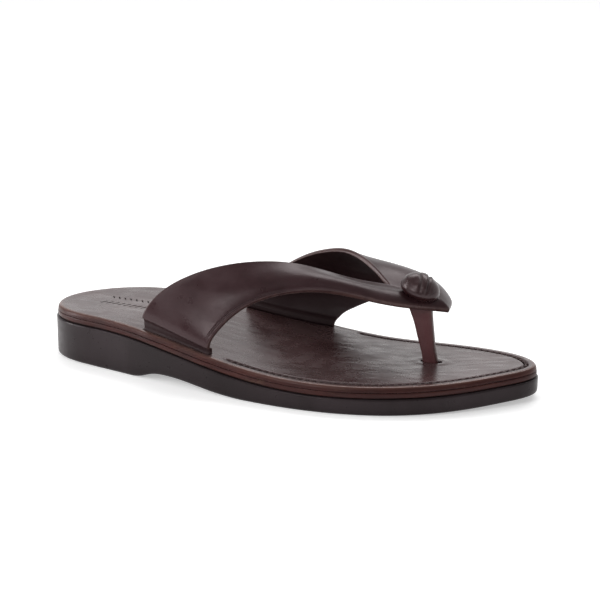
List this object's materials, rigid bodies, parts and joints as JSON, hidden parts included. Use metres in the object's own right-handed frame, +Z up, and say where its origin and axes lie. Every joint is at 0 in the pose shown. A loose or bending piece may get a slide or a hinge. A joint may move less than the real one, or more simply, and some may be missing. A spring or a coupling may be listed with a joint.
{
  "type": "flip flop",
  "caption": "Men's leather flip flop for the right foot: leather footbed and vamp, toe post with a knot, moulded rubber outsole with a low heel.",
  "frame": {"origin": "centre of the sandal's footprint, on the ground", "axes": "+X from heel to toe, +Y towards the inner (big toe) side of the foot, +Z up"},
  "size_m": [0.2918, 0.1134, 0.0716],
  "materials": {
    "outsole_rubber": "satin",
    "midsole_leather": "satin",
    "insole_leather": "satin",
    "vamp_leather": "satin",
    "post_leather": "satin",
    "thread": "matte",
    "nail_steel": "satin"
  },
  "bodies": {
    "sole": {"outsole": "outsole_rubber", "midsole": "midsole_leather", "insole": "insole_leather", "vamp_tab_outer": "vamp_leather", "vamp_tab_inner": "vamp_leather", "toe_post": "post_leather", "edge_stitches": "thread", "heel_nails": "nail_steel", "vamp_tab_tacks": "nail_steel", "toe_post_tacks": "nail_steel"},
    "vamp": {"vamp": "vamp_leather"}
  },
  "joints": [
    {"name": "vamp_flex", "type": "hinge", "parent": "sole", "child": "vamp", "pos_m": [-0.03282, 0.0014, 0.02214], "axis": [0.3236, 0.9448, -0.0516], "range_deg": [0, 4]}
  ]
}
